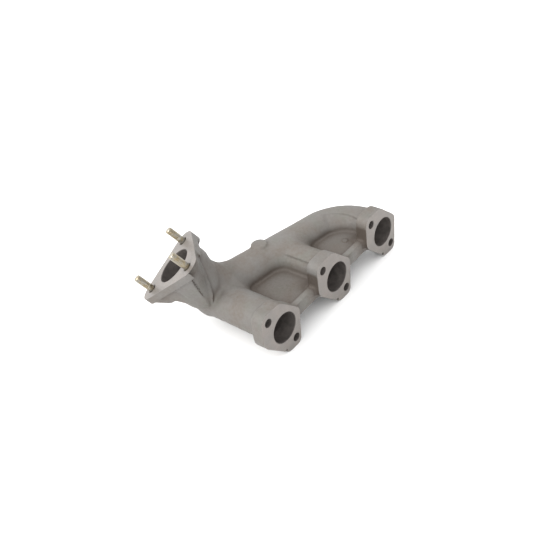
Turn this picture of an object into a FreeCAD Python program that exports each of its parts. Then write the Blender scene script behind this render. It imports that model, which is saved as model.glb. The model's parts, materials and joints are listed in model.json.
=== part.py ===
import FreeCAD, Part
import math
import os

# Exhaust manifold for one bank of a V6 engine: a single hollow iron casting with
# three inlet ports, a log collector and a three-stud outlet flange.
#
# Frame: the machined port face lies in the plane y = 0 and the engine's head is on
# its -Y side. The origin is the centre of the middle port. +X runs along the row of
# ports away from the outlet, +Y points out of the engine, +Z is up.

V = FreeCAD.Vector

# ---------------------------------------------------------------- driving dimensions
PORT_PITCH = 88.0           # cylinder spacing
PORT_BORE_R = 16.5          # machined port bore
PORT_BORE_DEPTHS = (9.5, 10.5, 11.5)        # from the first port to the far one
FLANGE_T = 14.0             # thickness of each port boss
HOLE_R = 4.5                # M8 clearance holes in the port bosses
HOLE_UPPER = (-19.8, 22.2)  # hole centres (x, z) from their port's centre
HOLE_LOWER = (13.0, -23.8)
NOTCH_AT = (-4.2, -28.7)    # cast locating notch in the lower edge of each boss
NOTCH_R = 1.8

WALL = 4.4                  # cast wall of the runners and the log
NECK_WALL = 5.8             # the neck is thicker, so the outlet bore has a step at its end
PIPE_R = 20.2               # outside of the runners
PIPE_Z = 1.0                # the pipes lie a little above the port centres
ELBOW_R = 46.0              # centre-line bend of the far runner
ELBOW_Y = 24.0              # where that bend starts
LOG_TURN = 78.5             # degrees that the far runner turns to become the log
LOG_END_R = 25.8            # outside of the log where it meets the outlet
JUNCTION_Y = 92.0           # where the outlet's axis meets the first runner's axis
LOG_END_Y = 97.0            # where the log's axis crosses the first runner's axis
DOME_R = 22.0               # rounded end behind the first runner

WEB_TOP = 4.0               # cast web between the runners
WEB_T = 7.0
BAR_FACE_Y = 5.0            # stiffening bar along the web's front edge
BAR_DEPTH = 7.0
BAR_Z = (-9.0, 6.0)

OUTLET_REACH = 60.0         # junction to outlet face, along the outlet's axis
OUTLET_RISE = 54.3          # degrees that the outlet's axis climbs from level
OUTLET_SWING = 129.1        # its direction in plan, in degrees from +X
OUTLET_BORE_R = 20.0
OUTLET_BORE_DEPTH = 14.0
OUTLET_FLANGE_T = 13.0
NECK_R = 24.3
NECK_SHORT = 2.0            # the neck stops this far below the outlet face
NECK_WAIST = 22.0           # from the junction to where the neck is at its full size
GUSSET_T = 2.6              # two ribs under the inner stud's lobe
GUSSET_TIP = (20.5, 6.5, -51.0)     # where they meet: along SIDE, along ALONG, out
GUSSET_ROOT = (6.0, 4.0, -30.0)     # a point inside the neck that both ribs pass
GUSSET_TOP_ALONG = (30.0, 33.0)     # their tops, along ALONG
GUSSET_OPEN_SIDE = 5.5
GUSSET_BITE = 2.0                   # how far they run up into the flange
LOBE_R = 13.3
STUD_PCD = 69.0
OUTLET_SIDE = STUD_PCD / 4.0 + LOBE_R       # centre to each straight side of the flange
STUD_CLOCK = 45.0           # inner stud, in degrees from the level line in the face

STUD_R = 4.0                # M8 studs
STUD_OUT = 21.0             # how far each stands proud of the outlet face
STUD_TIP = 1.0              # chamfer on its free end
STUD_IN = 12.0              # how deep each is screwed in
STUD_ROOT_R = 3.6           # the screwed-in end, and its tapped hole, at the thread's pitch radius
STUD_BORE_DEPTH = 15.0
STUD_SINK = 1.2             # countersink at the mouth of each tapped hole

PAD_R = 9.0                 # plain cast pad on the back shoulder of the log
PAD_AT = (-17.7, 88.4)      # its centre in plan
PAD_TOP = 25.5              # its level face, just above the log's crest
MARK_R = 3.2                # small round pad on the web beside the far runner
MARK_AT = (51.0, 25.0)
MARK_T = 0.8

SECOND_RUNNER_SHORT = 18.0  # the second runner meets the log this much sooner
FLARE_EXTRA = 7.0           # how much wider than the neck the flare starts
FLARE_TOP = 10.0            # flare's start and end, below the outlet face
FLARE_FOOT = 26.0
STUD_BOSS_DEPTH = 17.0      # cast metal around each stud, below the outlet face
STUD_BOSS_R = 12.3

OVERCUT = 1.0               # how far cutting tools run past a face

PORT_X = [-PORT_PITCH, 0.0, PORT_PITCH]


# ---------------------------------------------------------------- small helpers
def direction(rise, swing):
    """Unit vector that climbs rise degrees from level, swung from +X in plan."""
    r, s = math.radians(rise), math.radians(swing)
    return V(math.cos(r) * math.cos(s), math.cos(r) * math.sin(s), math.sin(r))


def rod(start, end, radius, end_radius=None):
    """Round solid between two points, straight or tapered."""
    along = end - start
    if end_radius is None or abs(end_radius - radius) < 1e-6:
        return Part.makeCylinder(radius, along.Length, start, along)
    return Part.makeCone(radius, end_radius, along.Length, start, along)


def fused(solids):
    """One solid from several that overlap."""
    return solids[0].multiFuse(solids[1:]).removeSplitter()


def rounded_outline(corners):
    """Closed wire through (x, z, radius) corners, each rounded by its own radius."""
    count = len(corners)
    tangents = []
    for i, (x, z, radius) in enumerate(corners):
        here = V(x, 0, z)
        before = (V(corners[i - 1][0], 0, corners[i - 1][1]) - here).normalize()
        after_corner = corners[(i + 1) % count]
        after = (V(after_corner[0], 0, after_corner[1]) - here).normalize()
        half = before.getAngle(after) / 2.0
        setback = radius / math.tan(half)
        bisector = (before + after).normalize()
        middle = here + bisector * (radius / math.sin(half) - radius)
        tangents.append((here + before * setback, middle, here + after * setback))
    edges = []
    for i, (start, middle, end) in enumerate(tangents):
        edges.append(Part.Arc(start, middle, end).toShape())
        following = tangents[(i + 1) % count][0]
        edges.append(Part.LineSegment(end, following).toShape())
    return Part.Wire(edges)


# ---------------------------------------------------------------- centre lines
OUTLET_AXIS = direction(OUTLET_RISE, OUTLET_SWING)
JUNCTION = V(PORT_X[0], JUNCTION_Y, PIPE_Z + 0.5)
OUTLET = JUNCTION + OUTLET_AXIS * OUTLET_REACH
LEVEL = V(0, 0, 1).cross(OUTLET_AXIS).normalize()
SIDE_TURN = FreeCAD.Rotation(OUTLET_AXIS, STUD_CLOCK - 60.0)
SIDE = SIDE_TURN.multVec(LEVEL)         # square to the flange's side by the first runner
ALONG = OUTLET_AXIS.cross(SIDE)         # along that side, towards the inner stud

ELBOW_CENTRE = V(PORT_X[2] - ELBOW_R, ELBOW_Y, PIPE_Z)
LOG_START = ELBOW_CENTRE + direction(0, LOG_TURN) * ELBOW_R
LOG_END = V(PORT_X[0], LOG_END_Y, PIPE_Z)


def in_outlet(side, along, out=0.0):
    """Point given from the outlet's centre: along SIDE, along ALONG, and out of the face."""
    return OUTLET + SIDE * side + ALONG * along + OUTLET_AXIS * out


def stud_foot(index, out=0.0):
    """Centre of a stud hole, out mm above the outlet face."""
    angle = math.radians(60.0 + 120.0 * index)
    radius = STUD_PCD / 2.0
    return in_outlet(radius * math.cos(angle), radius * math.sin(angle), out)


# ---------------------------------------------------------------- pieces of the casting
def elbow(radius):
    """Bend that carries the far runner round into the log."""
    start = V(PORT_X[2], ELBOW_Y, PIPE_Z)
    ring = Part.Wire(Part.Circle(start, V(0, 1, 0), radius).toShape())
    return Part.Face(ring).revolve(ELBOW_CENTRE, V(0, 0, 1), LOG_TURN)


def pipework(inset, neck_inset, feet_y):
    """Runners, elbow, log, dome and neck as one body, set in from the skin; each runner has its foot_y."""
    r = PIPE_R - inset
    neck_r = NECK_R - neck_inset
    back = V(0, 1, 0)
    runner_ends = [LOG_END_Y, LOG_END_Y - SECOND_RUNNER_SHORT, ELBOW_Y]
    bodies = []
    for x, foot_y, end_y in zip(PORT_X, feet_y, runner_ends):
        foot = V(x, foot_y, PIPE_Z)
        bodies.append(rod(foot, foot + back * (end_y - foot.y), r))
    bodies.append(elbow(r))
    bodies.append(rod(LOG_START, LOG_END, r, LOG_END_R - inset))
    bodies.append(Part.makeSphere(r, LOG_START))
    bodies.append(Part.makeSphere(DOME_R - inset, LOG_END))
    waist = JUNCTION + OUTLET_AXIS * NECK_WAIST
    bodies.append(rod(JUNCTION, waist, PIPE_R - neck_inset, neck_r))
    bodies.append(rod(waist, in_outlet(0, 0, -NECK_SHORT), neck_r))
    return fused(bodies)


def port_boss(x):
    """One port boss: an outline with two bolt lobes, on the head's side of a runner."""
    corners = [
        (-28.6, 32.6, 9.5),
        (-0.6, 32.6, 14.0),
        (25.2, 7.0, 9.0),
        (19.2, -34.0, 7.5),
        (-0.2, -34.0, 14.0),
        (-31.6, -2.6, 14.0),
    ]
    outline = rounded_outline(corners)
    outline.translate(V(x, 0, 0))
    return Part.Face(outline).extrude(V(0, FLANGE_T, 0))


def web():
    """Cast web that ties the runners and the log, with a bar along its front edge."""
    edge = [
        V(PORT_X[0], BAR_FACE_Y, 0),
        V(PORT_X[2], BAR_FACE_Y, 0),
        V(PORT_X[2], ELBOW_Y, 0),
        V(LOG_START.x, LOG_START.y, 0),
        V(LOG_END.x, LOG_END.y, 0),
    ]
    sheet = Part.Face(Part.makePolygon(edge + edge[:1]))
    sheet.translate(V(0, 0, WEB_TOP - WEB_T))
    low, high = BAR_Z
    bar = Part.makeBox(2.0 * PORT_PITCH, BAR_DEPTH, high - low, V(PORT_X[0], BAR_FACE_Y, low))
    long_edges = [e for e in bar.Edges if e.Length > PORT_PITCH]
    mark = Part.makeCylinder(MARK_R, MARK_T + OVERCUT, V(*MARK_AT, WEB_TOP - OVERCUT))
    return [sheet.extrude(V(0, 0, WEB_T)), bar.makeFillet(1.5, long_edges), mark]


def outlet_flange():
    """Three round lobes joined by straight sides, with a flare into the neck."""
    lobes = [stud_foot(i) for i in range(3)]
    turn = 120.0
    edges = []
    for i, lobe in enumerate(lobes):
        outward = (lobe - OUTLET).normalize()
        side = OUTLET_AXIS.cross(outward)
        spread = math.radians(turn / 2.0)
        first = lobe + (outward * math.cos(spread) - side * math.sin(spread)) * LOBE_R
        last = lobe + (outward * math.cos(spread) + side * math.sin(spread)) * LOBE_R
        edges.append(Part.Arc(first, lobe + outward * LOBE_R, last).toShape())
        after = lobes[(i + 1) % 3]
        after_out = (after - OUTLET).normalize()
        after_side = OUTLET_AXIS.cross(after_out)
        joined = after + (after_out * math.cos(spread) - after_side * math.sin(spread)) * LOBE_R
        edges.append(Part.LineSegment(last, joined).toShape())
    plate = Part.Face(Part.Wire(edges)).extrude(OUTLET_AXIS * -OUTLET_FLANGE_T)
    flare_top = in_outlet(0, 0, -FLARE_TOP)
    flare_foot = in_outlet(0, 0, -FLARE_FOOT)
    pieces = [plate, rod(flare_top, flare_foot, NECK_R + FLARE_EXTRA, NECK_R)]
    for i in range(3):
        pieces.append(rod(stud_foot(i), stud_foot(i, -STUD_BOSS_DEPTH), STUD_BOSS_R))
    return pieces


def gussets():
    """Two thin ribs under the inner lobe, which meet at a point on the first runner."""
    tip = in_outlet(*GUSSET_TIP)
    root = in_outlet(*GUSSET_ROOT)
    top_out = GUSSET_BITE - OUTLET_FLANGE_T
    flush = in_outlet(OUTLET_SIDE - GUSSET_T / 2.0, GUSSET_TOP_ALONG[0], top_out)
    open_side = in_outlet(GUSSET_OPEN_SIDE, GUSSET_TOP_ALONG[1], top_out)
    ribs = []
    for top in (flush, open_side):
        normal = (top - tip).cross(root - tip).normalize()
        face = Part.Face(Part.makePolygon([top, tip, root, top]))
        face.translate(normal * (-GUSSET_T / 2.0))
        ribs.append(face.extrude(normal * GUSSET_T))
    return ribs


def log_pad():
    """Plain round pad cast on the back shoulder of the log."""
    return rod(V(*PAD_AT, PIPE_Z), V(*PAD_AT, PAD_TOP), PAD_R)


def cuts():
    """Everything machined away: bores, bolt holes, notches and tapped holes."""
    tools = []
    for x, depth in zip(PORT_X, PORT_BORE_DEPTHS):
        tools.append(rod(V(x, -OVERCUT, 0), V(x, depth, 0), PORT_BORE_R))
        for hole_x, hole_z in (HOLE_UPPER, HOLE_LOWER):
            start = V(x + hole_x, -OVERCUT, hole_z)
            tools.append(rod(start, start + V(0, FLANGE_T + 2 * OVERCUT, 0), HOLE_R))
        start = V(x + NOTCH_AT[0], -OVERCUT, NOTCH_AT[1])
        tools.append(rod(start, start + V(0, FLANGE_T + 2 * OVERCUT, 0), NOTCH_R))
    tools.append(rod(in_outlet(0, 0, OVERCUT), in_outlet(0, 0, -OUTLET_BORE_DEPTH), OUTLET_BORE_R))
    for i in range(3):
        tools.append(rod(stud_foot(i, OVERCUT), stud_foot(i, -STUD_BORE_DEPTH), STUD_ROOT_R))
        mouth = STUD_ROOT_R + STUD_SINK
        tools.append(rod(stud_foot(i), stud_foot(i, -STUD_SINK), mouth, STUD_ROOT_R))
    return tools


def casting():
    """The whole manifold casting, hollow and machined."""
    bodies = [port_boss(x) for x in PORT_X] + web() + outlet_flange() + gussets()
    outside = pipework(0.0, 0.0, [FLANGE_T - OVERCUT] * 3)
    solid = fused([outside, log_pad()] + bodies)
    passage = pipework(WALL, NECK_WALL, [depth - OVERCUT for depth in PORT_BORE_DEPTHS])
    tools = cuts()
    return solid.cut(passage).cut(tools[0].multiFuse(tools[1:])).Solids[0]


def stud(index):
    """One stud: the screwed-in end, the part that stands proud, and its chamfered tip."""
    tip_foot = STUD_OUT - STUD_TIP
    root = rod(stud_foot(index, -STUD_IN), stud_foot(index), STUD_ROOT_R)
    shank = rod(stud_foot(index), stud_foot(index, tip_foot), STUD_R)
    tip = rod(stud_foot(index, tip_foot), stud_foot(index, STUD_OUT), STUD_R, STUD_R - STUD_TIP)
    return fused([root, shank, tip]).Solids[0]


# ---------------------------------------------------------------- written out
NODES = {"manifold_casting": casting()}
for number, name in enumerate(("stud_inner", "stud_upper", "stud_outer")):
    NODES[name] = stud(number)

os.makedirs("parts", exist_ok=True)
for name, shape in NODES.items():
    shape.exportStep("parts/" + name + ".step")
    print(name, shape.ShapeType, "solids", len(shape.Solids), "valid", shape.isValid(),
          "volume cm3", round(shape.Volume / 1000.0, 1))
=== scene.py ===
import json
import math

import bpy
import numpy as np
from mathutils import Matrix, Vector, noise


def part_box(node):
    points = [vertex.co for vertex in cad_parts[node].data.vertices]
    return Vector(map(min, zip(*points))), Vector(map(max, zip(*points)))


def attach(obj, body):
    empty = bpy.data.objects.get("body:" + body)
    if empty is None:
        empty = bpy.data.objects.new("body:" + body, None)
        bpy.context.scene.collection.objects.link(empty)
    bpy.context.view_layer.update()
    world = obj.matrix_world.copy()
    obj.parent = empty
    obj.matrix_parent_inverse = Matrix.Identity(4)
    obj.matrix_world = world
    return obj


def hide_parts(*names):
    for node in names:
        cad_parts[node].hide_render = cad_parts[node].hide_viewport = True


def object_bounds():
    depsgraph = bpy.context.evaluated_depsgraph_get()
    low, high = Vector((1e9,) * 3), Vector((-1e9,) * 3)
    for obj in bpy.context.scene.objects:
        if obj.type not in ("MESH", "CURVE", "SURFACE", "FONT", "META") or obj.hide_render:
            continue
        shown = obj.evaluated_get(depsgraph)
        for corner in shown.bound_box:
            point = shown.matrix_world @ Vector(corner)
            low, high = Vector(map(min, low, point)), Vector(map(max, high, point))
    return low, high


# Looks of the exhaust manifold: one sand-cast iron body with machined faces, and three
# threaded studs. The cast body is a distance field, blended where the real casting has
# fillets, turned into a mesh and then cut with exact tools where it is machined.

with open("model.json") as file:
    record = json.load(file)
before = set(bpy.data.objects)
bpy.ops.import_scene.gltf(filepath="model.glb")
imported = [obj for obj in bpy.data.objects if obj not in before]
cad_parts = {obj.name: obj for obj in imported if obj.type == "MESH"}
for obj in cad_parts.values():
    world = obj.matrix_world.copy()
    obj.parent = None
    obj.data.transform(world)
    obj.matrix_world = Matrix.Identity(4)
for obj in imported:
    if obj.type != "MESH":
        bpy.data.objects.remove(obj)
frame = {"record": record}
cad_box = [list(corner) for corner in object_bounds()]

MM = 0.001


# ---------------------------------------------------------------- places from the frame
MOUNTS = {mount["name"]: mount for mount in frame["record"]["mounts"]}


def place(name):
    return np.array(MOUNTS[name]["pos_m"], float)


def unit(vector):
    return np.asarray(vector, float) / np.linalg.norm(vector)


PORTS = [place(f"port_{i}") for i in (1, 2, 3)]
PORT_X = [port[0] for port in PORTS]
PORT_R = MOUNTS["port_1"]["dims"]["r_mm"] * MM
PORT_DEPTHS = [MOUNTS[f"port_{i}"]["dims"]["length_mm"] * MM for i in (1, 2, 3)]
HOLE_R = MOUNTS["port_1_bolts"]["dims"]["hole_r_mm"] * MM
OUTLET = place("outlet")
OUTLET_AXIS = unit(MOUNTS["outlet"]["axis"])
OUTLET_R = MOUNTS["outlet"]["dims"]["r_mm"] * MM
OUTLET_DEPTH = MOUNTS["outlet"]["dims"]["length_mm"] * MM
SIDE = unit(place("outlet_face") - OUTLET)
ALONG = np.cross(OUTLET_AXIS, SIDE)
STUD_R = MOUNTS["outlet_studs"]["dims"]["stud_r_mm"] * MM
STUD_CIRCLE_R = MOUNTS["outlet_studs"]["dims"]["pcd_mm"] / 2.0 * MM
STUD_NAMES = ["stud_inner", "stud_upper", "stud_outer"]


def stud_foot(index):
    """Where the axis of a stud crosses the outlet face."""
    angle = math.radians(60.0 + 120.0 * index)
    return OUTLET + (SIDE * math.cos(angle) + ALONG * math.sin(angle)) * STUD_CIRCLE_R


STUD_FEET = [stud_foot(index) for index in range(3)]

# ---------------------------------------------------------------- sizes of the casting
FLANGE_T = 14.0 * MM
HOLE_OFFSETS = [(-19.8 * MM, 22.2 * MM), (13.0 * MM, -23.8 * MM)]
NOTCH_AT = (-4.2 * MM, -28.7 * MM)
NOTCH_R = 1.8 * MM
BOSS_CORNERS = [        # x, z and corner radius, in mm from the port's centre
    (-28.6, 32.6, 9.5),
    (-0.6, 32.6, 14.0),
    (25.2, 7.0, 9.0),
    (19.2, -34.0, 7.5),
    (-0.2, -34.0, 14.0),
    (-31.6, -2.6, 14.0),
]
BOSS_ROUND = 1.3 * MM

PIPE_R = 20.2 * MM
PIPE_Z = 1.0 * MM
WALL = 4.4 * MM
NECK_WALL = 5.8 * MM
ELBOW_R = 46.0 * MM
ELBOW_Y = 24.0 * MM
LOG_TURN = math.radians(78.5)
LOG_WIDE_R = 24.8 * MM                  # the log is widest a little short of its end
LOG_WIDEST = 0.80
LOG_END_Y = 97.0 * MM
RUNNER_1_END = LOG_END_Y - 8.0 * MM
RUNNER_2_END = LOG_END_Y - 32.0 * MM
PASSAGE_FROM_Y = -10.0 * MM             # the passages start outside the head face
DOME_R = 22.0 * MM
NECK_R = 24.3 * MM
NECK_FOOT, NECK_WAIST = 14.0 * MM, 22.0 * MM    # distances up the neck from its junction
NECK_FOOT_R = 21.5 * MM
FLARE_TOP, FLARE_TOP_R = (-4.5, 1.0, 14.0), 27.0 * MM    # neck under the flange, in mm there
FLARE_FOOT, FLARE_FOOT_R = (-1.0, 0.0, 28.0), 24.8 * MM
SADDLE_X = (-92.0 * MM, -72.0 * MM)     # the neck's fillet widens between these two places

PIPE_FILLET = 14.0 * MM
OUTER_FILLET = 1.5 * MM                 # on the first runner's side away from the bay
OUTER_FILLET_GROWS = 16.0 * MM          # distance over which it widens to the pipes' fillet
NECK_FILLET = 5.0                       # these two in mm: away from the saddle, and added at it
SADDLE_FILLET = 20.0
HEAD_FILLET = 4.0 * MM
BAR_FILLET = 1.2 * MM
WEB_FILLET = 3.0 * MM
BOSS_FILLET = 4.0 * MM
PAD_FILLET = 3.0 * MM
MARK_FILLET = 1.0 * MM
PASSAGE_FILLET = 4.0 * MM

OVERCUT = 2.0 * MM                      # stock beyond each machined face, taken off later

WEB_LOW, WEB_HIGH = -3.0 * MM, 4.0 * MM
BAR_FRONT, BAR_BACK = 5.0 * MM, 12.0 * MM
BAR_LOW, BAR_HIGH = -9.0 * MM, 6.0 * MM
MARK_AT = (51.0 * MM, 25.0 * MM)
MARK_R = 3.2 * MM
MARK_T = 0.8 * MM

OUTLET_FLANGE_T = 8.5 * MM              # between the lobes
LOBE_R = 13.3 * MM
UPPER_BOSS_T = 13.0 * MM                # metal round the upper stud
OUTER_BOSS_END = (14.5, -23.0, 16.0)    # where the metal round the outer stud ends, in mm there
OUTER_BOSS_R, OUTER_BOSS_END_R = 12.3 * MM, 11.0 * MM
RAMP_EDGE = 1.6 * MM                    # rounding of the ramp's borders
APEX = (21.0 * MM, 6.3 * MM, 50.7 * MM)  # where the rib and ramp under the inner lobe end
POCKET_STEP = 2.4 * MM                  # how far the ramp is set back at the crease
CREASE, RIDGE = 28.6 * MM, -5.0 * MM    # the two sides of the ramp, at the flange

PAD_AT = (-17.7 * MM, 88.4 * MM)
PAD_TOP = 25.5 * MM
PAD_R = 9.0 * MM

LEDGE = 1.5 * MM                        # step along the upper inner side of two runners
LEDGE_ANGLE = 123.0                     # its place round the pipe, in degrees from +X
LEDGE_CLIMB = 0.45                      # degrees nearer the crest per degree of elbow
LEDGE_EDGE, LEDGE_FLAT, LEDGE_FADE = 5.0, 30.0, 35.0    # its profile, in degrees round the pipe
LEDGE_STOPS_Y = 62.0 * MM               # its end on a straight runner
LEDGE_STOPS_TURN = 66.0                 # and on the elbow, in degrees
LEDGE_RUN_OUT = 8.0                     # how far before its end it starts to fade, in mm or degrees

PORTS_AXIS = np.array([0.0, 1.0, 0.0])
ELBOW_CENTRE = np.array([PORT_X[2] - ELBOW_R, ELBOW_Y, PIPE_Z])
LOG_START = ELBOW_CENTRE + ELBOW_R * np.array([math.cos(LOG_TURN), math.sin(LOG_TURN), 0.0])
LOG_END = np.array([PORT_X[0], LOG_END_Y, PIPE_Z])
REACH = (OUTLET[0] - PORT_X[0]) / OUTLET_AXIS[0]
JUNCTION = OUTLET - OUTLET_AXIS * REACH

GRID = 1.15 * MM
COARSE = 4                              # fine steps in one coarse step
CAST_ROUGH = [(16.0 * MM, 0.20 * MM), (4.5 * MM, 0.07 * MM), (1.9 * MM, 0.035 * MM)]


# ---------------------------------------------------------------- distance fields
def norm(vectors):
    return np.sqrt(np.einsum("ij,ij->i", vectors, vectors))


def blend(a, b, width):
    """Union of two fields with a fillet that starts width away from both."""
    share = np.maximum(width - np.abs(a - b), 0.0) / width
    return np.minimum(a, b) - share * share * width * 0.25


def blend_max(a, b, width):
    """Intersection of two fields with a rounded edge."""
    return -blend(-a, -b, width)


def rod(points, start, end, r_start, r_end=None):
    """Round-ended rod, straight or tapered."""
    r_end = r_start if r_end is None else r_end
    along = end - start
    share = np.clip((points - start) @ along / (along @ along), 0.0, 1.0)
    nearest = start + share[:, None] * along
    return norm(points - nearest) - (r_start + (r_end - r_start) * share)


def polygon(x, y, corners):
    """Signed distance in a plane to a closed outline."""
    best = np.full(len(x), 1e9)
    inside = np.zeros(len(x), bool)
    for (ax, ay), (bx, by) in zip(corners, corners[1:] + corners[:1]):
        ex, ey = bx - ax, by - ay
        px, py = x - ax, y - ay
        share = np.clip((px * ex + py * ey) / (ex * ex + ey * ey), 0.0, 1.0)
        best = np.minimum(best, (px - share * ex) ** 2 + (py - share * ey) ** 2)
        crosses = (ay > y) != (by > y)
        if ey != 0.0:
            inside ^= crosses & (px < py * ex / ey)
    return np.where(inside, -1.0, 1.0) * np.sqrt(best)


def extruded(flat, low, high, rounding=0.0):
    """Solid from a flat field and the two distances past its end planes."""
    across = flat + rounding
    ends = np.maximum(low, high) + rounding
    outside = np.sqrt(np.maximum(across, 0.0) ** 2 + np.maximum(ends, 0.0) ** 2)
    return np.minimum(np.maximum(across, ends), 0.0) + outside - rounding


def rounded_outline(corners, steps=6):
    """Outline through (x, z, radius) corners, in metres, each rounded by its own radius."""
    outline = []
    for i, (x, z, radius) in enumerate(corners):
        here = np.array([x, z])
        before = unit(np.array(corners[i - 1][:2]) - here)
        after = unit(np.array(corners[(i + 1) % len(corners)][:2]) - here)
        half = math.acos(float(before @ after)) / 2.0
        centre = here + unit(before + after) * radius / math.sin(half)
        first = here + before * radius / math.tan(half) - centre
        last = here + after * radius / math.tan(half) - centre
        turn = math.atan2(first[0] * last[1] - first[1] * last[0], float(first @ last))
        for k in range(steps + 1):
            angle = turn * k / steps
            cos, sin = math.cos(angle), math.sin(angle)
            spot = (first[0] * cos - first[1] * sin, first[0] * sin + first[1] * cos)
            outline.append(((centre[0] + spot[0]) * MM, (centre[1] + spot[1]) * MM))
    return outline


BOSS_OUTLINE = rounded_outline(BOSS_CORNERS)


def in_outlet(points):
    """Coordinates from the outlet's centre: along SIDE, along ALONG, and depth below the face."""
    from_centre = points - OUTLET
    return from_centre @ SIDE, from_centre @ ALONG, -(from_centre @ OUTLET_AXIS)


def from_outlet(side, along, depth):
    """Point given in mm in the outlet's own coordinates."""
    return OUTLET + (SIDE * side + ALONG * along - OUTLET_AXIS * depth) * MM


def ledge(sideways, up, starts_at=LEDGE_ANGLE):
    """How far the pipe steps in below the ledge, at a place round its section."""
    angle = np.degrees(np.arctan2(up, sideways)) % 360.0
    starts = np.clip((angle - starts_at) / LEDGE_EDGE, 0.0, 1.0)
    fades = 1.0 - np.clip((angle - starts_at - LEDGE_FLAT) / LEDGE_FADE, 0.0, 1.0)
    return LEDGE * starts * fades


def far_pipe(points, inset):
    """Far runner, its elbow and the log, one tangent run."""
    r = PIPE_R - inset
    start = np.array([PORT_X[2], PASSAGE_FROM_Y if inset else FLANGE_T / 2.0, PIPE_Z])
    runner = rod(points, start, np.array([PORT_X[2], ELBOW_Y, PIPE_Z]), r)
    from_centre = points - ELBOW_CENTRE
    angle = np.clip(np.arctan2(from_centre[:, 1], from_centre[:, 0]), 0.0, LOG_TURN)
    ring = np.stack([np.cos(angle), np.sin(angle), np.zeros(len(angle))], 1) * ELBOW_R
    elbow = norm(from_centre - ring) - r
    if not inset:
        up = points[:, 2] - PIPE_Z
        degrees = np.degrees(angle)
        starts_at = LEDGE_ANGLE - LEDGE_CLIMB * degrees
        radial = np.hypot(from_centre[:, 0], from_centre[:, 1]) - ELBOW_R
        fade = np.clip((LEDGE_STOPS_TURN - degrees) / LEDGE_RUN_OUT, 0.0, 1.0)
        runner = runner + ledge(points[:, 0] - PORT_X[2], up)
        elbow = elbow + fade * ledge(radial, up, starts_at)
    waist = LOG_START + (LOG_END - LOG_START) * LOG_WIDEST
    log = rod(points, LOG_START, waist, r, LOG_WIDE_R - inset)
    log = np.minimum(log, rod(points, waist, LOG_END, LOG_WIDE_R - inset, DOME_R - inset))
    return np.minimum(np.minimum(runner, elbow), log)


def straight_runner(points, x, end_y, inset, with_ledge):
    start = np.array([x, PASSAGE_FROM_Y if inset else FLANGE_T / 2.0, PIPE_Z])
    pipe = rod(points, start, np.array([x, end_y, PIPE_Z]), PIPE_R - inset)
    if with_ledge and not inset:
        fade = np.clip((LEDGE_STOPS_Y - points[:, 1]) / (LEDGE_RUN_OUT * MM), 0.0, 1.0)
        pipe = pipe + fade * ledge(points[:, 0] - x, points[:, 2] - PIPE_Z)
    return pipe


def neck(points, inset):
    start = JUNCTION + OUTLET_AXIS * NECK_FOOT
    waist = JUNCTION + OUTLET_AXIS * NECK_WAIST
    top = OUTLET + OUTLET_AXIS * (6.0 * MM if inset else -NECK_R)
    lower = rod(points, start, waist, NECK_FOOT_R - inset, NECK_R - inset)
    tube = np.minimum(lower, rod(points, waist, top, NECK_R - inset))
    if inset:
        return np.minimum(tube, rod(points, JUNCTION, start, PIPE_R - inset, NECK_FOOT_R - inset))
    flare_top, flare_foot = from_outlet(*FLARE_TOP), from_outlet(*FLARE_FOOT)
    return blend(tube, rod(points, flare_top, flare_foot, FLARE_TOP_R, FLARE_FOOT_R), 4.0 * MM)


def pipework(points, inset, neck_inset, fillet, neck_fillet):
    """Every pipe of the manifold as one blended field."""
    first = straight_runner(points, PORT_X[0], RUNNER_1_END, inset, False)
    second = straight_runner(points, PORT_X[1], RUNNER_2_END, inset, True)
    field = blend(far_pipe(points, inset), second, fillet)
    bay_side = np.clip((points[:, 0] - PORT_X[0]) / OUTER_FILLET_GROWS, 0.0, 1.0)
    field = blend(field, first, OUTER_FILLET + bay_side * (fillet - OUTER_FILLET))
    share = np.clip((LOG_START[0] - points[:, 0]) / (LOG_START[0] - LOG_END[0]), 0.0, LOG_WIDEST)
    crest = PIPE_R + (LOG_WIDE_R - PIPE_R) * share / LOG_WIDEST - inset + 0.2 * MM
    field = blend_max(field, np.abs(points[:, 2] - PIPE_Z) - crest, 2.0 * MM)
    return blend(field, neck(points, neck_inset), neck_fillet)


def port_bosses(points):
    field = np.full(len(points), 1e9)
    for x in PORT_X:
        flat = polygon(points[:, 0] - x, points[:, 2], BOSS_OUTLINE)
        low, high = -2.0 * OVERCUT - points[:, 1], points[:, 1] - FLANGE_T
        field = np.minimum(field, extruded(flat, low, high, BOSS_ROUND))
    return field


def web(points):
    corners = [
        (PORT_X[0], BAR_FRONT),
        (PORT_X[2], BAR_FRONT),
        (PORT_X[2], ELBOW_Y),
        (LOG_START[0], LOG_START[1]),
        (LOG_END[0], LOG_END[1]),
    ]
    flat = polygon(points[:, 0], points[:, 1], corners)
    return extruded(flat, WEB_LOW - points[:, 2], points[:, 2] - WEB_HIGH, 0.3 * MM)


def bar(points):
    middle = (PORT_X[0] + PORT_X[2]) / 2.0
    half = (PORT_X[2] - PORT_X[0]) / 2.0
    deep = np.maximum(BAR_FRONT - points[:, 1], points[:, 1] - BAR_BACK)
    tall = np.maximum(BAR_LOW - points[:, 2], points[:, 2] - BAR_HIGH)
    across = np.abs(points[:, 0] - middle) - half
    rounding = 0.9 * MM
    section = extruded(deep, tall, tall, rounding)
    return np.maximum(section, across)


def stud_corners():
    """Stud centres in the outlet's own coordinates."""
    return [(float((f - OUTLET) @ SIDE), float((f - OUTLET) @ ALONG)) for f in STUD_FEET]


def drawn_in(side, along, depth, power):
    """Coordinates in which sections of a cone towards the apex keep their size."""
    share = np.clip(1.0 - depth / APEX[2], 0.02, 1.0) ** power
    return APEX[0] + (side - APEX[0]) / share, APEX[1] + (along - APEX[1]) / share, share


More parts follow.
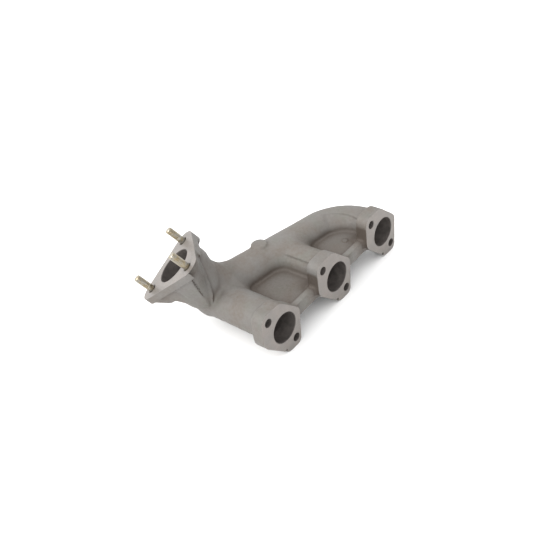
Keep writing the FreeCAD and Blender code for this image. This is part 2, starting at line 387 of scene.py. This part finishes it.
def outlet_head(points):
    """Flange, the bosses at its lobes, and a rib and a ramp under the inner lobe."""
    side, along, depth = in_outlet(points)
    corners = stud_corners()
    outline = polygon(side, along, corners) - LOBE_R
    head = extruded(outline, -2.0 * OVERCUT - depth, depth - OUTLET_FLANGE_T, 1.0 * MM)
    upper = np.hypot(side - corners[1][0], along - corners[1][1]) - LOBE_R
    head = blend(head, extruded(upper, 2.0 * MM - depth, depth - UPPER_BOSS_T, 2.0 * MM), 5.0 * MM)
    outer = STUD_FEET[2] - OUTLET_AXIS * 4.0 * MM
    outer_end = from_outlet(*OUTER_BOSS_END)
    outer_boss = rod(points, outer, outer_end, OUTER_BOSS_R, OUTER_BOSS_END_R)
    head = blend(head, outer_boss, 3.0 * MM)
    head = np.maximum(head, outline)
    ends = np.maximum(3.0 * MM - depth, depth - APEX[2] + 1.5 * MM)

    u, v, share = drawn_in(side, along, depth, 1.0)
    cone = (polygon(u, v, corners) - LOBE_R) * share
    left = np.maximum(cone, np.maximum(CREASE - u, -v) * share)
    across = np.maximum(u - CREASE, RIDGE - u) * share
    rise = np.clip((CREASE - u) / (CREASE - RIDGE), 0.0, 1.0)
    u, v, share = drawn_in(side, along, depth, 1.05 - 0.5 * rise)
    ramp = (polygon(u, v, corners) - LOBE_R + POCKET_STEP * (1.0 - rise)) * share
    ribs = blend(left, blend_max(ramp, across, 1.5 * MM), RAMP_EDGE)
    ribs = blend_max(ribs, ends, 1.5 * MM)

    pocket = blend_max(-ramp, np.maximum(across, -along), RAMP_EDGE)
    pocket = blend_max(pocket, 1.2 * MM - depth, RAMP_EDGE)
    head = blend_max(head, -pocket, RAMP_EDGE)
    return blend(head, ribs, 2.2 * MM)


def pad(points):
    flat = np.hypot(points[:, 0] - PAD_AT[0], points[:, 1] - PAD_AT[1]) - PAD_R
    return extruded(flat, PIPE_Z - points[:, 2], points[:, 2] - PAD_TOP, 1.5 * MM)


def web_mark(points):
    flat = np.hypot(points[:, 0] - MARK_AT[0], points[:, 1] - MARK_AT[1]) - MARK_R
    return extruded(flat, -points[:, 2], points[:, 2] - WEB_HIGH - MARK_T, 0.3 * MM)


def outside(points):
    """The skin of the casting, before anything is machined."""
    saddle = np.clip((points[:, 0] - SADDLE_X[0]) / (SADDLE_X[1] - SADDLE_X[0]), 0.0, 1.0)
    neck_fillet = (NECK_FILLET + SADDLE_FILLET * saddle) * MM
    field = pipework(points, 0.0, 0.0, PIPE_FILLET, neck_fillet)
    field = blend(field, outlet_head(points), HEAD_FILLET)
    front = blend(web(points), bar(points), BAR_FILLET)
    field = blend(field, front, WEB_FILLET)
    field = blend(field, port_bosses(points), BOSS_FILLET)
    field = blend(field, pad(points), PAD_FILLET)
    field = blend(field, web_mark(points), MARK_FILLET)
    _, _, depth = in_outlet(points)
    return np.maximum(field, np.maximum(-OVERCUT - points[:, 1], -OVERCUT - depth))


def passage(points):
    return pipework(points, WALL, NECK_WALL, PASSAGE_FILLET, PASSAGE_FILLET)


def casting_field(points):
    return np.maximum(outside(points), -passage(points))


# ---------------------------------------------------------------- field to mesh
def in_chunks(function, points, size=400000):
    return np.concatenate([function(points[i:i + size]) for i in range(0, len(points), size)])


def sampled_field(low, high):
    """The field on a grid: exact near the skin, only its sign far from it."""
    coarse_step = GRID * COARSE
    counts = [int(math.ceil((high[i] - low[i]) / coarse_step)) + 1 for i in range(3)]
    axes = [low[i] + coarse_step * np.arange(counts[i]) for i in range(3)]
    lattice = np.stack(np.meshgrid(*axes, indexing="ij"), -1).reshape(-1, 3)
    coarse = in_chunks(casting_field, lattice).reshape(counts)
    fine_counts = [(count - 1) * COARSE + 1 for count in counts]
    spread = coarse
    for axis in range(3):
        spots = np.arange(fine_counts[axis]) / COARSE
        base = np.minimum(spots.astype(int), counts[axis] - 2)
        shape = [1, 1, 1]
        shape[axis] = -1
        share = (spots - base).reshape(shape)
        first = np.take(spread, base, axis)
        second = np.take(spread, base + 1, axis)
        spread = first * (1.0 - share) + second * share
    near = np.abs(spread) < coarse_step * 1.8
    spots = np.argwhere(near)
    points = np.array(low) + spots * GRID
    spread[near] = in_chunks(casting_field, points)
    return spread


def without_crossings(field):
    """The field with no grid square whose diagonals disagree, so that the net is a clean skin."""
    for _ in range(12):
        inside = field < 0.0
        found = 0
        for u, v in ((0, 1), (0, 2), (1, 2)):
            squares = []
            for du, dv in ((0, 0), (1, 0), (1, 1), (0, 1)):
                part = [slice(None)] * 3
                part[u] = slice(du, field.shape[u] - 1 + du)
                part[v] = slice(dv, field.shape[v] - 1 + dv)
                squares.append(inside[tuple(part)])
            a, b, c, d = squares
            crossed = np.argwhere((a == c) & (b == d) & (a != b))
            for spot in crossed:
                corner = spot.copy()
                if a[tuple(spot)]:
                    corner[u] += 1
                field[tuple(corner)] = -0.05 * GRID
            found += len(crossed)
        if not found:
            break
    return field


def surface_net(field, low):
    """Quads through the cells that the skin passes."""
    corner_steps = [(i, j, k) for i in (0, 1) for j in (0, 1) for k in (0, 1)]
    inside = field < 0.0
    cells = [n - 1 for n in field.shape]
    held = np.zeros(cells, np.int8)
    for i, j, k in corner_steps:
        held += inside[i:i + cells[0], j:j + cells[1], k:k + cells[2]]
    passed = (held > 0) & (held < 8)
    where = np.argwhere(passed)
    number = np.full(cells, -1, np.int64)
    number[passed] = np.arange(len(where))
    values = np.stack([field[tuple((where + step).T)] for step in corner_steps], 1)
    total = np.zeros((len(where), 3))
    count = np.zeros(len(where))
    for a, step_a in enumerate(corner_steps):
        for b, step_b in enumerate(corner_steps):
            if b <= a or sum(abs(p - q) for p, q in zip(step_a, step_b)) != 1:
                continue
            changes = (values[:, a] < 0.0) != (values[:, b] < 0.0)
            gap = np.where(changes, values[:, a] - values[:, b], 1.0)
            share = (values[:, a] / gap)[:, None]
            spot = np.array(step_a) * (1.0 - share) + np.array(step_b) * share
            total += spot * changes[:, None]
            count += changes
    vertices = np.array(low) + (where + total / count[:, None]) * GRID
    quads = []
    for axis in range(3):
        u, v = (axis + 1) % 3, (axis + 2) % 3
        first = np.take(inside, range(field.shape[axis] - 1), axis)
        second = np.take(inside, range(1, field.shape[axis]), axis)
        spots = np.argwhere(first != second)
        spots = spots[(spots[:, u] > 0) & (spots[:, v] > 0)]
        outward = first[tuple(spots.T)]
        ring = []
        for du, dv in ((-1, -1), (0, -1), (0, 0), (-1, 0)):
            cell = spots.copy()
            cell[:, u] += du
            cell[:, v] += dv
            ring.append(number[tuple(cell.T)])
        quad = np.stack(ring, 1)
        quads.append(np.where(outward[:, None], quad, quad[:, ::-1]))
    return vertices, np.concatenate(quads)


def slope(function, points, step=0.15 * MM):
    parts = []
    for axis in range(3):
        shift = np.zeros(3)
        shift[axis] = step
        rise = in_chunks(function, points + shift) - in_chunks(function, points - shift)
        parts.append(rise / (2.0 * step))
    return np.stack(parts, 1)


def settled(vertices):
    """Vertices moved onto the exact skin, and its outward normals there."""
    for _ in range(2):
        gradient = slope(casting_field, vertices)
        steep = np.maximum(np.einsum("ij,ij->i", gradient, gradient), 0.2)
        move = gradient * (in_chunks(casting_field, vertices) / steep)[:, None]
        longest = np.maximum(norm(move) / (0.6 * GRID), 1.0)
        vertices = vertices - move / longest[:, None]
    gradient = slope(casting_field, vertices)
    return vertices, gradient / np.maximum(norm(gradient), 1e-6)[:, None]


def cast_relief(vertices, normals):
    """Uneven sand-cast skin: slow waves, then finer lumps."""
    height = np.zeros(len(vertices))
    for size, deep in CAST_ROUGH:
        spots = vertices / size + 7.3
        height += deep * np.array([noise.noise(Vector(spot)) for spot in spots])
    return vertices + normals * height[:, None]


# ---------------------------------------------------------------- mesh helpers
def new_object(name, vertices, faces):
    mesh = bpy.data.meshes.new(name)
    mesh.from_pydata([tuple(v) for v in vertices], [], [tuple(f) for f in faces])
    mesh.update()
    obj = bpy.data.objects.new(name, mesh)
    bpy.context.scene.collection.objects.link(obj)
    return obj


def turned(profile, start, axis, sides=96):
    """Closed solid turned about an axis from (distance along, radius) pairs."""
    axis = unit(axis)
    helper = np.array([1.0, 0.0, 0.0]) if abs(axis[0]) < 0.9 else np.array([0.0, 0.0, 1.0])
    across = unit(np.cross(axis, helper))
    upward = np.cross(axis, across)
    vertices, faces = [], []
    for along, radius in profile:
        for k in range(sides):
            angle = 2.0 * math.pi * k / sides
            ring = across * math.cos(angle) + upward * math.sin(angle)
            vertices.append(start + axis * along + ring * radius)
    for level in range(len(profile) - 1):
        for k in range(sides):
            after = (k + 1) % sides
            low, high = level * sides, (level + 1) * sides
            faces.append((low + k, low + after, high + after, high + k))
    faces.append(tuple(range(sides))[::-1])
    last = (len(profile) - 1) * sides
    faces.append(tuple(last + k for k in range(sides)))
    return vertices, faces


def slab(centre, axis_u, axis_v, axis_w, half_u, half_v, depth):
    """Box that starts at centre and reaches depth along axis_w."""
    vertices = []
    for w in (0.0, depth):
        for u, v in ((-1, -1), (1, -1), (1, 1), (-1, 1)):
            vertices.append(centre + axis_u * u * half_u + axis_v * v * half_v + axis_w * w)
    faces = [(3, 2, 1, 0), (4, 5, 6, 7)]
    faces += [(i, (i + 1) % 4, (i + 1) % 4 + 4, i + 4) for i in range(4)]
    return vertices, faces


def merged_tool(name, solids):
    vertices, faces = [], []
    for some_vertices, some_faces in solids:
        base = len(vertices)
        vertices += list(some_vertices)
        faces += [tuple(i + base for i in face) for face in some_faces]
    return new_object(name, vertices, faces)


def cut(obj, tool):
    modifier = obj.modifiers.new("cut", "BOOLEAN")
    modifier.operation = "DIFFERENCE"
    modifier.object = tool
    modifier.solver = "MANIFOLD"
    graph = bpy.context.evaluated_depsgraph_get()
    result = bpy.data.meshes.new_from_object(obj.evaluated_get(graph))
    obj.modifiers.remove(modifier)
    obj.data = result
    bpy.data.objects.remove(tool)


# ---------------------------------------------------------------- machining tools
CHAMFER = 0.5 * MM
COUNTERSINK = 1.2 * MM
BORE_RUN_OUT = 6.0 * MM                 # length of the taper where a machined bore ends
BORE_TAPER = 0.25                       # how much narrower per unit of that length
HOLE_CHAMFER = 0.3 * MM
NOTCH_CHAMFER = 0.2 * MM
OUTLET_CHAMFER = 0.6 * MM
HOLE_PAST = 8.0 * MM                    # how far the bolt holes' tools go past the boss
NOTCH_SHORT = 3.0 * MM                  # how far the notches stop short of its back
STUD_HOLE_DEPTH = 9.5 * MM


def hole_tool(mouth, inward, radius, depth, chamfer, sides, run_out=0.5 * MM):
    profile = [
        (-OVERCUT, radius + chamfer + OVERCUT),
        (chamfer, radius),
        (depth, radius),
        (depth + run_out, radius - run_out * BORE_TAPER),
    ]
    return turned(profile, mouth, inward, sides)


def facing_tools():
    wide = 0.4
    x, y, z = np.eye(3)
    head = slab(np.zeros(3), x, z, -y, wide, wide, 0.05)
    outlet = slab(OUTLET, SIDE, ALONG, OUTLET_AXIS, 0.07, 0.07, 0.03)
    return merged_tool("facing", [head, outlet])


def drilling_tools():
    solids = []
    for port, depth in zip(PORTS, PORT_DEPTHS):
        solids.append(hole_tool(port, PORTS_AXIS, PORT_R, depth, CHAMFER, 128, BORE_RUN_OUT))
        for x, z in HOLE_OFFSETS:
            mouth = port + np.array([x, 0.0, z])
            deep = FLANGE_T + HOLE_PAST
            solids.append(hole_tool(mouth, PORTS_AXIS, HOLE_R, deep, HOLE_CHAMFER, 48))
        mouth = port + np.array([NOTCH_AT[0], 0.0, NOTCH_AT[1]])
        deep = FLANGE_T - NOTCH_SHORT
        solids.append(hole_tool(mouth, PORTS_AXIS, NOTCH_R, deep, NOTCH_CHAMFER, 24))
    outlet = (OUTLET, -OUTLET_AXIS, OUTLET_R, OUTLET_DEPTH, OUTLET_CHAMFER, 144, BORE_RUN_OUT)
    solids.append(hole_tool(*outlet))
    for foot in STUD_FEET:
        solids.append(hole_tool(foot, -OUTLET_AXIS, STUD_R, STUD_HOLE_DEPTH, COUNTERSINK, 48))
    return merged_tool("drilling", solids)


# ---------------------------------------------------------------- the casting
AS_CAST, MACHINED, INSIDE = 0, 1, 2


def face_kinds(mesh):
    """Which faces are as cast, machined, or inside the passages."""
    count = len(mesh.polygons)
    centres = np.zeros(count * 3)
    normals = np.zeros(count * 3)
    mesh.polygons.foreach_get("center", centres)
    mesh.polygons.foreach_get("normal", normals)
    centres, normals = centres.reshape(-1, 3), normals.reshape(-1, 3)
    kinds = np.where(in_chunks(passage, centres) < 1.2 * MM, INSIDE, AS_CAST)
    kinds[in_chunks(outside, centres) > -0.7 * MM] = AS_CAST
    near = 0.02 * MM
    head = (np.abs(centres[:, 1]) < near) & (normals[:, 1] < -0.99)
    outlet = (np.abs((centres - OUTLET) @ OUTLET_AXIS) < near) & (normals @ OUTLET_AXIS > 0.99)
    kinds[head | outlet] = MACHINED
    # machined bores and bolt holes count as inside too, so they take the passages' dark painted
    # shade
    for port, depth in zip(PORTS, PORT_DEPTHS):
        away = np.hypot(centres[:, 0] - port[0], centres[:, 2] - port[2])
        bore = (np.abs(away - PORT_R) < 0.6 * MM) & (centres[:, 1] < depth + 0.1 * MM)
        kinds[bore & ~head] = INSIDE
        for x, z in HOLE_OFFSETS:
            away = np.hypot(centres[:, 0] - port[0] - x, centres[:, 2] - z)
            hole = (away < HOLE_R + 0.35 * MM) & (centres[:, 1] < FLANGE_T + 9 * MM)
            kinds[hole & ~head] = INSIDE
    side, along, depth = in_outlet(centres)
    bore = (np.abs(np.hypot(side, along) - OUTLET_R) < 0.7 * MM) & (depth < OUTLET_DEPTH)
    kinds[bore & ~outlet] = INSIDE
    return kinds


# Painted shade on the cast skin: these numbers darken the lower bays and the bosses' sides towards
# -X, where shade falls.
BAY_PAINTED_SHADE = 0.42
BAY_SHADE_TOP = 2.0 * MM                # above the web, where the bays' painted shade starts to fade
BAY_SHADE_FADE = 7.0 * MM
BOSS_PAINTED_SHADE = 1.3
BOSS_SHADE_X = -30.0 * MM               # from the port's centre
BOSS_SHADE_WIDE = 5.0 * MM
BOSS_SHADE_TOP = 24.0 * MM
BOSS_SHADE_FADE = 6.0 * MM
BOSS_SHADE_BACK_Y = 20.0 * MM
CORNER_REACHES = (5.0 * MM, 16.0 * MM)  # distances over which a corner counts as close


def painted_shade_share(vertices):
    """Painted shade on the cast skin: darker in corners, in the lower bays and on the bosses' sides
    towards -X.
    """
    gradient = slope(outside, vertices)
    out = gradient / np.maximum(norm(gradient), 1e-6)[:, None]
    # painted shade in corners and hollows, like ambient occlusion
    total = np.zeros(len(vertices))
    for reach in CORNER_REACHES:
        ahead = in_chunks(outside, vertices + out * reach)
        total += np.clip(1.0 - ahead / reach, 0.0, 1.0) / 2.0
    x, y, z = vertices.T
    # painted shade on the bays' floors behind the bar
    level = np.clip(1.0 - (z - WEB_HIGH - BAY_SHADE_TOP) / BAY_SHADE_FADE, 0.0, 1.0)
    in_bay = np.clip((x - PORT_X[0] - PIPE_R) / (4.0 * MM), 0.0, 1.0) * (z > 0.0)
    behind_bar = np.clip((y - BAR_BACK) / (2.0 * MM), 0.0, 1.0)
    total += BAY_PAINTED_SHADE * level * in_bay * behind_bar
    # painted shade on the bosses' sides towards -X, low down by the web
    for port_x in PORT_X[1:]:
        beside = np.clip(1.0 - np.abs(x - port_x - BOSS_SHADE_X) / BOSS_SHADE_WIDE, 0.0, 1.0)
        low = np.clip((BOSS_SHADE_TOP - z) / BOSS_SHADE_FADE, 0.0, 1.0) * (z > WEB_LOW)
        front = np.clip(y / (1.5 * MM), 0.0, 1.0) * (y < BOSS_SHADE_BACK_Y)
        total += BOSS_PAINTED_SHADE * beside * low * front
    return np.clip(total, 0.0, 1.2)


def build_casting():
    low = np.array(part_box("manifold_casting")[0]) - 5.0 * MM
    high = np.array(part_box("manifold_casting")[1]) + 5.0 * MM
    vertices, quads = surface_net(without_crossings(sampled_field(low, high)), low)
    vertices, normals = settled(vertices)
    vertices = cast_relief(vertices, normals)
    obj = new_object("manifold_casting_skin", vertices, quads)
    cut(obj, facing_tools())
    cut(obj, drilling_tools())
    mesh = obj.data
    co = np.zeros(len(mesh.vertices) * 3)
    mesh.vertices.foreach_get("co", co)
    co = co.reshape(-1, 3)
    co = np.clip(co, np.array(cad_box[0]), np.array(cad_box[1]))
    mesh.vertices.foreach_set("co", co.ravel())
    mesh.update()
    # painted shade, stored on the vertices for the cast material
    shade_paint = mesh.attributes.new("shade_paint", "FLOAT", "POINT")
    shade_paint.data.foreach_set("value", painted_shade_share(co).astype(np.float32))
    mesh.materials.clear()
    for finish in (cast_iron(), machined_iron(), passage_painted_shade()):
        mesh.materials.append(finish)
    mesh.polygons.foreach_set("material_index", face_kinds(mesh).astype(np.int32))
    mesh.polygons.foreach_set("use_smooth", np.ones(len(mesh.polygons), bool))
    mesh.set_sharp_from_angle(angle=math.radians(38.0))
    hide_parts("manifold_casting")
    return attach(obj, "root")


# ---------------------------------------------------------------- studs
THREAD_PITCH = 1.25 * MM
THREAD_ROOT_R = 3.38 * MM
SHANK_R = 3.7 * MM
SHANK_OUT = 4.6 * MM
STUD_IN = 8.0 * MM
STUD_OUT = 20.9 * MM
STUD_CHAMFER = 0.9 * MM


def stud_radius(height, turn):
    """Radius of the stud at a height above the outlet face and a share of a turn round it."""
    phase = (height / THREAD_PITCH - turn) % 1.0
    ridge = min(max((abs(2.0 * phase - 1.0) - 0.12) / 0.74, 0.0), 1.0)
    thread = THREAD_ROOT_R + (STUD_R - THREAD_ROOT_R) * ridge
    runs_in = min(max((height - SHANK_OUT) / (1.4 * THREAD_PITCH), 0.0), 1.0)
    radius = SHANK_R + (thread - SHANK_R) * runs_in
    cone = STUD_R - STUD_CHAMFER + (STUD_OUT - height)
    return min(radius, cone)


def build_stud(name, foot):
    sides, steps = 56, 10
    heights = [-STUD_IN, 0.0, SHANK_OUT * 0.5]
    rings = int((STUD_OUT - SHANK_OUT) / THREAD_PITCH * steps)
    heights += [SHANK_OUT + (STUD_OUT - SHANK_OUT) * k / rings for k in range(rings + 1)]
    vertices, faces = [], []
    for height in heights:
        for k in range(sides):
            angle = 2.0 * math.pi * k / sides
            radius = stud_radius(height, k / sides)
            spoke = SIDE * math.cos(angle) + ALONG * math.sin(angle)
            vertices.append(foot + OUTLET_AXIS * height + spoke * radius)
    for level in range(len(heights) - 1):
        for k in range(sides):
            after = (k + 1) % sides
            here, above = level * sides, (level + 1) * sides
            faces.append((here + k, here + after, above + after, above + k))
    faces.append(tuple(range(sides))[::-1])
    last = (len(heights) - 1) * sides
    faces.append(tuple(last + k for k in range(sides)))
    obj = new_object(name + "_threaded", vertices, faces)
    obj.data.materials.append(zinc_steel())
    obj.data.polygons.foreach_set("use_smooth", np.ones(len(faces), bool))
    obj.data.set_sharp_from_angle(angle=math.radians(32.0))
    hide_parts(name)
    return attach(obj, "root")


# ---------------------------------------------------------------- materials
def material(name, base, metallic, roughness, specular=0.5):
    """New node material. Returns it, its nodes, its links and its shader."""
    made = bpy.data.materials.new(name)
    made.use_nodes = True
    nodes, links = made.node_tree.nodes, made.node_tree.links
    shader = nodes["Principled BSDF"]
    shader.inputs["Base Color"].default_value = (*base, 1.0)
    shader.inputs["Metallic"].default_value = metallic
    shader.inputs["Roughness"].default_value = roughness
    shader.inputs["Specular IOR Level"].default_value = specular
    return made, nodes, links, shader


def grain(nodes, links, size, detail=3.0, stretch=(1.0, 1.0, 1.0), rough=0.55):
    """Noise whose lumps are size across."""
    spot = nodes.new("ShaderNodeTexCoord")
    mapping = nodes.new("ShaderNodeMapping")
    mapping.inputs["Scale"].default_value = stretch
    texture = nodes.new("ShaderNodeTexNoise")
    texture.inputs["Scale"].default_value = 1.0 / size
    texture.inputs["Detail"].default_value = detail
    texture.inputs["Roughness"].default_value = rough
    links.new(spot.outputs["Object"], mapping.inputs["Vector"])
    links.new(mapping.outputs["Vector"], texture.inputs["Vector"])
    return texture.outputs["Fac"]


def ranged(nodes, links, source, low, high, out_low=0.0, out_high=1.0):
    node = nodes.new("ShaderNodeMapRange")
    node.inputs["From Min"].default_value = low
    node.inputs["From Max"].default_value = high
    node.inputs["To Min"].default_value = out_low
    node.inputs["To Max"].default_value = out_high
    links.new(source, node.inputs["Value"])
    return node.outputs["Result"]


def mixed(nodes, links, share, first, second, how="MIX"):
    """Mix of two colours; each is a colour or another node's output."""
    node = nodes.new("ShaderNodeMix")
    node.data_type = "RGBA"
    node.blend_type = how
    for socket, value in ((node.inputs[6], first), (node.inputs[7], second)):
        if isinstance(value, tuple):
            socket.default_value = (*value, 1.0)
        else:
            links.new(value, socket)
    if isinstance(share, float):
        node.inputs[0].default_value = share
    else:
        links.new(share, node.inputs[0])
    return node.outputs[2]


def bumped(nodes, links, height, strength, distance, under=None):
    node = nodes.new("ShaderNodeBump")
    node.inputs["Strength"].default_value = strength
    node.inputs["Distance"].default_value = distance
    links.new(height, node.inputs["Height"])
    if under is not None:
        links.new(under, node.inputs["Normal"])
    return node.outputs["Normal"]


def cast_iron():
    made, nodes, links, shader = material("sand_cast_iron", (0.27, 0.255, 0.235), 0.15, 0.62, 0.4)
    patches = ranged(nodes, links, grain(nodes, links, 34 * MM, 2.0), 0.42, 0.62)
    colour = mixed(nodes, links, patches, (0.136, 0.128, 0.119), (0.119, 0.102, 0.087))
    tint = ranged(nodes, links, grain(nodes, links, 21 * MM, 2.0), 0.5, 0.68, 0.0, 0.6)
    colour = mixed(nodes, links, tint, colour, (0.121, 0.121, 0.103))
    mottle = ranged(nodes, links, grain(nodes, links, 3.2 * MM, 4.0), 0.3, 0.7, 0.0, 0.5)
    colour = mixed(nodes, links, mottle, colour, (0.155, 0.149, 0.141))
    speck = ranged(nodes, links, grain(nodes, links, 0.8 * MM, 3.0), 0.6, 0.75, 0.0, 0.45)
    colour = mixed(nodes, links, speck, colour, (0.09, 0.08, 0.071))
    # painted shade: the vertex attribute darkens the cast colour towards dark brown in corners,
    # bays and boss sides
    shade_paint = nodes.new("ShaderNodeAttribute")
    shade_paint.attribute_name = "shade_paint"
    shade_amount = ranged(nodes, links, shade_paint.outputs["Fac"], 0.05, 0.75, 0.0, 0.9)
    colour = mixed(nodes, links, shade_amount, colour, (0.055, 0.042, 0.033))
    links.new(colour, shader.inputs["Base Color"])
    rough = ranged(nodes, links, grain(nodes, links, 2.4 * MM, 4.0), 0.3, 0.7, 0.52, 0.72)
    links.new(rough, shader.inputs["Roughness"])
    lumps = bumped(nodes, links, grain(nodes, links, 2.2 * MM, 3.0), 0.35, 0.3 * MM)
    sand = bumped(nodes, links, grain(nodes, links, 0.7 * MM, 4.0), 0.5, 0.16 * MM, lumps)
    links.new(sand, shader.inputs["Normal"])
    return made


def machined_iron():
    made, nodes, links, shader = material("machined_iron", (0.4, 0.36, 0.325), 0.45, 0.45)
    cloud = ranged(nodes, links, grain(nodes, links, 12 * MM, 3.0), 0.35, 0.65)
    colour = mixed(nodes, links, cloud, (0.212, 0.19, 0.174), (0.186, 0.173, 0.162))
    marks = grain(nodes, links, 1.0 * MM, 3.0, (0.12, 1.0, 3.0))
    fine = ranged(nodes, links, marks, 0.35, 0.65, 0.0, 0.35)
    colour = mixed(nodes, links, fine, colour, (0.165, 0.15, 0.138))
    pits = ranged(nodes, links, grain(nodes, links, 0.6 * MM, 2.0), 0.66, 0.74, 0.0, 0.7)
    colour = mixed(nodes, links, pits, colour, (0.07, 0.058, 0.05))
    links.new(colour, shader.inputs["Base Color"])
    links.new(ranged(nodes, links, marks, 0.3, 0.7, 0.38, 0.55), shader.inputs["Roughness"])
    links.new(bumped(nodes, links, marks, 0.25, 0.08 * MM), shader.inputs["Normal"])
    return made


def passage_painted_shade():
    # painted shade: a dark colour for the passages, bores and holes, standing in for the shade
    # inside them
    made, nodes, links, shader = material("passage_painted_shade", (0.05, 0.042, 0.038), 0.1, 0.6, 0.35)
    cloud = ranged(nodes, links, grain(nodes, links, 7 * MM, 3.0), 0.35, 0.65)
    colour = mixed(nodes, links, cloud, (0.08, 0.07, 0.064), (0.05, 0.044, 0.04))
    links.new(colour, shader.inputs["Base Color"])
    sand = grain(nodes, links, 0.9 * MM, 4.0)
    links.new(ranged(nodes, links, sand, 0.3, 0.7, 0.5, 0.75), shader.inputs["Roughness"])
    links.new(bumped(nodes, links, sand, 0.6, 0.2 * MM), shader.inputs["Normal"])
    return made


def zinc_steel():
    made, nodes, links, shader = material("yellow_zinc_steel", (0.72, 0.68, 0.58), 1.0, 0.3)
    cloud = ranged(nodes, links, grain(nodes, links, 4 * MM, 2.0), 0.38, 0.62)
    colour = mixed(nodes, links, cloud, (0.33, 0.315, 0.28), (0.30, 0.255, 0.175))
    dull = ranged(nodes, links, grain(nodes, links, 0.9 * MM, 3.0), 0.55, 0.75, 0.0, 0.6)
    colour = mixed(nodes, links, dull, colour, (0.16, 0.135, 0.1))
    links.new(colour, shader.inputs["Base Color"])
    wear = grain(nodes, links, 0.7 * MM, 3.0)
    links.new(ranged(nodes, links, wear, 0.3, 0.7, 0.22, 0.42), shader.inputs["Roughness"])
    links.new(bumped(nodes, links, wear, 0.2, 0.03 * MM), shader.inputs["Normal"])
    return made


# ---------------------------------------------------------------- studio
CAMERA_AT = (-0.4497, -0.3919, 0.4879)
CAMERA_AZIMUTH = math.radians(42.23)    # from +Y towards +X
CAMERA_ELEVATION = math.radians(37.48)
CAMERA_ROLL = math.radians(-12.72)
CAMERA_LENS = 49.44
LIGHT_FROM = unit([-0.66, 0.27, 0.70])
KEY_DISTANCE, KEY_SIZE, KEY_POWER = 1.4, 0.8, 7.0
SKY_DIM, SKY_BRIGHT = 0.55, 2.45        # away from the light, and towards it
FLOOR_HALF = 3.0


def build_camera():
    cos_a, sin_a = math.cos(CAMERA_AZIMUTH), math.sin(CAMERA_AZIMUTH)
    cos_e, sin_e = math.cos(CAMERA_ELEVATION), math.sin(CAMERA_ELEVATION)
    back = Vector((-sin_a * cos_e, -cos_a * cos_e, sin_e))
    level = Vector((cos_a, -sin_a, 0.0))
    upright = back.cross(level)
    right = level * math.cos(CAMERA_ROLL) + upright * math.sin(CAMERA_ROLL)
    up = back.cross(right)
    data = bpy.data.cameras.new("camera")
    data.lens = CAMERA_LENS
    data.clip_start = 0.01
    camera = bpy.data.objects.new("camera", data)
    turn = Matrix((right, up, back)).transposed().to_4x4()
    camera.matrix_world = Matrix.Translation(CAMERA_AT) @ turn
    bpy.context.scene.collection.objects.link(camera)
    bpy.context.scene.camera = camera


def area_light(name, direction, distance, size, power, colour):
    data = bpy.data.lights.new(name, "AREA")
    data.shape = "DISK"
    data.size = size
    data.energy = power
    data.color = colour
    light = bpy.data.objects.new(name, data)
    centre = (Vector(cad_box[0]) + Vector(cad_box[1])) / 2.0
    light.location = centre + Vector(direction) * distance
    light.rotation_euler = Vector(direction).to_track_quat("Z", "Y").to_euler()
    bpy.context.scene.collection.objects.link(light)


def build_studio(lowest):
    half, z = FLOOR_HALF, lowest
    corners = [(-half, -half, z), (half, -half, z), (half, half, z), (-half, half, z)]
    floor = new_object("floor", corners, [(0, 1, 2, 3)])
    pale, _, _, _ = material("pale_floor", (0.86, 0.86, 0.86), 0.0, 0.9, 0.1)
    floor.data.materials.append(pale)
    world = bpy.data.worlds.new("studio")
    world.use_nodes = True
    nodes, links = world.node_tree.nodes, world.node_tree.links
    spot = nodes.new("ShaderNodeTexCoord")
    towards = nodes.new("ShaderNodeVectorMath")
    towards.operation = "DOT_PRODUCT"
    towards.inputs[1].default_value = tuple(LIGHT_FROM)
    links.new(spot.outputs["Generated"], towards.inputs[0])
    strength = ranged(nodes, links, towards.outputs["Value"], -1.0, 1.0, SKY_DIM, SKY_BRIGHT)
    background = nodes["Background"]
    background.inputs["Color"].default_value = (1.0, 1.0, 1.0, 1.0)
    links.new(strength, background.inputs["Strength"])
    bpy.context.scene.world = world
    area_light("key", LIGHT_FROM, KEY_DISTANCE, KEY_SIZE, KEY_POWER, (1.0, 0.98, 0.95))
    bpy.context.scene.view_settings.view_transform = "Standard"


# ---------------------------------------------------------------- put together
build_camera()
build_casting()
for stud_name, stud_at in zip(STUD_NAMES, STUD_FEET):
    build_stud(stud_name, stud_at)
build_studio(cad_box[0][2])
